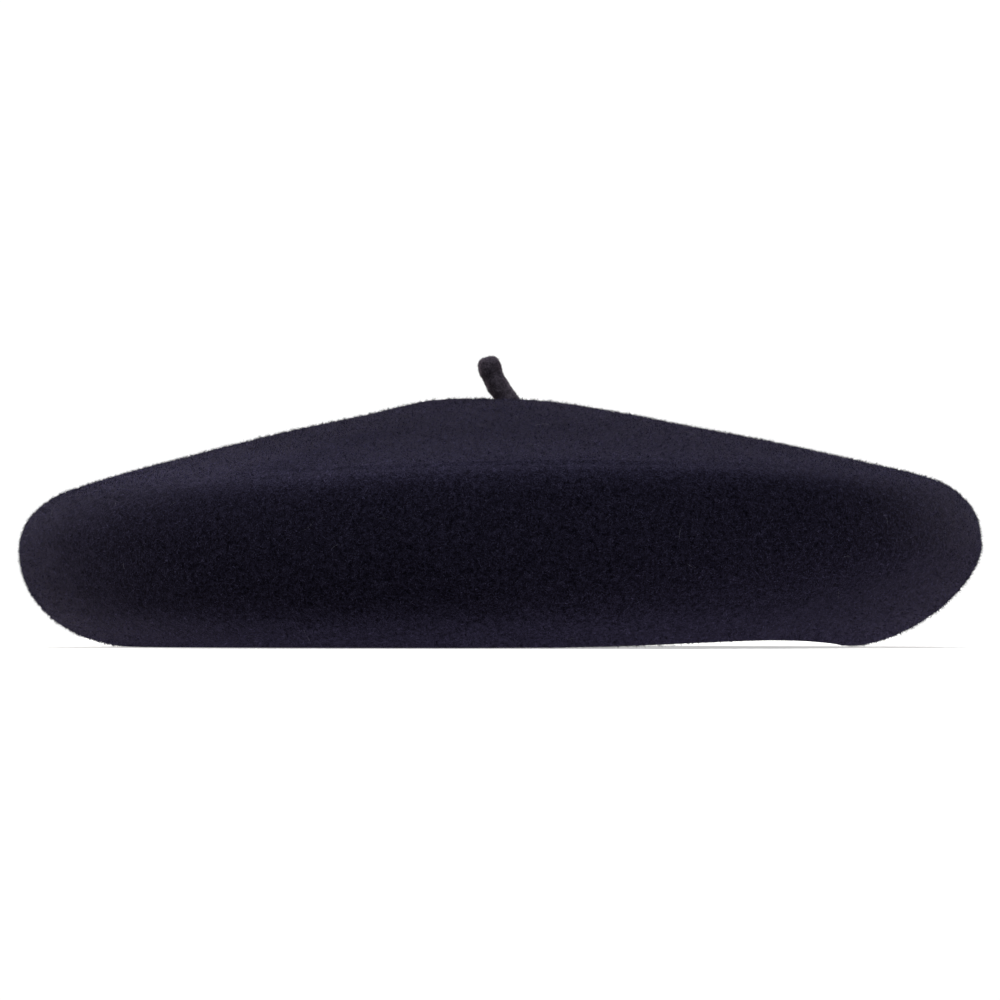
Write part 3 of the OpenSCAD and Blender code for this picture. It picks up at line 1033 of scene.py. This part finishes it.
def stalk():
    """A rolled felt stem that leans to the left and thickens to a blunt tip."""
    line = fine_path([(x * MM, 0, z * MM) for x, z in STALK_LINE], 0.3 * MM)
    across, up = path_frames(line)
    share = np.linspace(0, 1, len(line))
    radius = np.interp(share, *zip(*STALK_RADII)) * MM
    radius = np.convolve(np.pad(radius, 4, "edge"), np.ones(9) / 9, "valid")
    end, along = line[-1], unit(line[-1] - line[-2])
    cap = STALK_TIP * MM - end[2]
    turn, rings = angles(40), list(zip(line, radius))
    for a in np.linspace(0.12, math.pi / 2, 12)[:-1]:
        rings.append((end + along * cap * math.sin(a) ** 0.9, radius[-1] * math.cos(a) ** 0.62))
    rows = [line[:1] - along * 0.2 * MM]
    for k, (p, r) in enumerate(rings):
        i = min(k, len(line) - 1)
        ring = np.outer(np.cos(turn), across[i]) + np.outer(np.sin(turn), up[i])
        places = [Vector(q) for q in p + ring * r]
        bumps = [0.22 * noise.noise(v * 420) + 0.08 * noise.noise(v * 1100) for v in places]
        rows.append(p + ring * (r + MM * np.array(bumps) * (r / radius[-1]))[:, None])
    rows.append((end + along * cap)[None])
    return new_mesh("felt_stalk", np.concatenate(rows), bridge(rows), STALK_FELT_PAINTED_LIT)


def stalk_ties():
    """Inside the crown: a star of stitches and a small knot that hold the stalk."""
    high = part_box("stalk_stitches")[1]
    z, paths = high.z - THREAD_R, []
    for a in angles(8):
        outer_end = polar(high.x * rng.uniform(0.85, 1.0), a, z)
        paths.append(stitch(np.array([0, 0, z]), outer_end, (0, 0, -1), steps=24, proud=0.1 * MM))
    for turns, r in ((0.0, 1.0), (0.4, 0.85), (0.9, 0.6)):
        u = np.linspace(0, TURN, 40)
        paths.append(polar(r * MM, u, z + MM * (0.25 * np.sin(2 * u + turns) - 0.45 - turns)))
    return sewn("stalk_ties", paths)


# ---- light and camera

def area_light(name, size, place, target, power, colour):
    data = bpy.data.lights.new(name, "AREA")
    data.shape = "RECTANGLE"
    data.size, data.size_y = size
    data.energy = power
    data.color = colour
    lamp = in_scene(name, data)
    lamp.location = place
    lamp.rotation_euler = (Vector(target) - Vector(place)).to_track_quat("-Z", "Y").to_euler()
    lamp.visible_camera = False


def studio():
    """Softboxes above, warm lights beside and behind, a glow from below, and white behind it all."""
    warm, rose = (1.0, 0.94, 0.86), (1.0, 0.95, 0.98)
    for lamp in (
            ("over_back", (1.5, 0.9), (0, 0.75, 1.15), (0, 0, 0), 28, (0.97, 0.98, 1.0)),
            ("over_front", (1.0, 0.45), (0, -0.65, 1.2), (0, 0, 0), 18, (0.96, 0.98, 1.0)),
            ("left_rim", (0.6, 0.6), (-1.0, 1.0, 0.15), (0, 0, 0.03), 50, warm),
            ("right_rim", (0.6, 0.6), (1.0, 1.0, 0.15), (0, 0, 0.03), 48, warm),
            ("left_side", (0.8, 0.8), (-1.3, 0.35, 0.35), (0, 0, 0.03), 14, warm),
            ("from_below", (0.4, 0.4), (-0.1, 0.1, -0.9), (0, 0, 0), 5.4, rose),
            ("below_right", (0.5, 0.5), (0.5, -0.1, -0.85), (0.1, 0, 0), 10.0, rose)):
        area_light(*lamp)
    world = bpy.data.worlds.new("white_studio")
    world.use_nodes = True
    tree = world.node_tree
    back = tree.nodes["Background"]
    path = tree.nodes.new("ShaderNodeLightPath")
    mix = tree.nodes.new("ShaderNodeMix")
    mix.inputs[2].default_value = 0.01
    mix.inputs[3].default_value = 1.05
    tree.links.new(path.outputs["Is Camera Ray"], mix.inputs[0])
    tree.links.new(mix.outputs[0], back.inputs["Strength"])
    back.inputs["Color"].default_value = (1, 1, 1, 1)
    SCENE.world = world


def floor():
    """A pale floor that glows a little. From below it isn't seen, and it lets light by."""
    m = Nodes("pale_floor")
    path = m.add("ShaderNodeLightPath", {}).outputs
    behind = m.add("ShaderNodeNewGeometry", {}).outputs["Backfacing"]
    pale = m.ramp(m.noise(3), (0.0, grey(0.90)), (1.0, grey(0.92)))
    m.set(Base_Color=m.mix(m.times(path["Is Diffuse Ray"], 0.65), pale, BLACK))
    m.set(Roughness=0.9, Specular_IOR_Level=0.1)
    glow = m.add("ShaderNodeEmission", {}).outputs[0]
    clear = m.add("ShaderNodeBsdfTransparent", {}).outputs[0]
    seen = {0: m.times(path["Is Camera Ray"], 0.5), 1: m.shader.outputs[0], 2: glow}
    passing = {0: m.math("MAXIMUM", path["Is Shadow Ray"], behind),
               1: m.add("ShaderNodeMixShader", seen).outputs[0], 2: clear}
    output = m.tree.nodes["Material Output"].inputs["Surface"]
    m.feed(output, m.add("ShaderNodeMixShader", passing).outputs[0])
    radius, sides = 0.75, 96
    ground = new_mesh("floor", polar(radius, angles(sides), 0), [range(sides)], m.material, smooth=False)
    ground.location.z = -0.1 * MM


def camera():
    """Level with the beret, from far away."""
    distance, width = 10.0, 0.2725
    data = bpy.data.cameras.new("camera")
    data.sensor_width = 36
    data.lens = data.sensor_width * distance / width
    data.clip_end = 50
    eye = in_scene("camera", data)
    aim = Vector((-0.1 * MM, 0, 40.0 * MM))
    eye.location = aim - Vector((0, distance, 0))
    eye.rotation_euler = (aim - eye.location).to_track_quat("-Z", "Y").to_euler()
    SCENE.camera = eye


camera()
studio()
floor()
SCENE.view_settings.view_transform = "Standard"

# The export allows 200,000 faces a piece, and a fibre has four.
NAP_FIBRES = 49000
body = felt_body()
for name, keep in (("crown_nap", on_crown),
                   ("left_nap", lambda at, normal: on_side(at, normal) & (at[:, 0] < 0)),
                   ("right_nap", lambda at, normal: on_side(at, normal) & (at[:, 0] >= 0))):
    fibres = nap(name, body, NAP_FIBRES, keep, (0.5 * MM, 1.5 * MM), (0.1, 1.1), 0.08 * MM, NAP)
    finish_piece(fibres, "wool_felt")
finish_piece(stray_hairs(body, 110), "wool_felt")

stem = stalk()
stem_nap = nap("stalk_nap", stem, 5000, lambda at, _: at[:, 2] > CROWN_Z - 0.5 * MM,
               (0.4 * MM, 1.0 * MM), (0.1, 0.9), 0.03 * MM, STALK_NAP_PAINTED_LIT)
for piece in (stem, stem_nap):
    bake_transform(piece)
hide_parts("stalk")
finish_piece(stalk_ties(), "thread", "stalk_stitches")

finish_piece(sweatband(), "sweatband_leather", "sweatband")
finish_piece(zigzag_stitches(), "thread", "sweatband_stitches")
finish_piece(join_stitches(), "thread", "sweatband_join_stitches")
bow_loops, bow_wrap = bow()
finish_piece(bow_loops, "ribbon", "bow_ribbon")
finish_piece(bow_wrap, "ribbon", "bow_knot")

crown_satin = finish_piece(lining_crown(), "lining_satin", "lining_crown")
side_satin = finish_piece(lining_side(), "lining_satin", "lining_side")
finish_piece(seam_stitches(), "thread", "lining_seam_stitches")
finish_piece(hem_stitches(), "thread", "lining_hem_stitches")

under_lining = under_surface(crown_satin)
patch = finish_piece(woven_label(under_lining), "label_cloth", "woven_label")
finish_piece(label_stitches(under_lining), "thread", "woven_label_stitches")
tab = finish_piece(care_label(), "label_cloth", "care_label", body="care_label")
finish_piece(care_stitches(), "thread", "care_label_stitches")
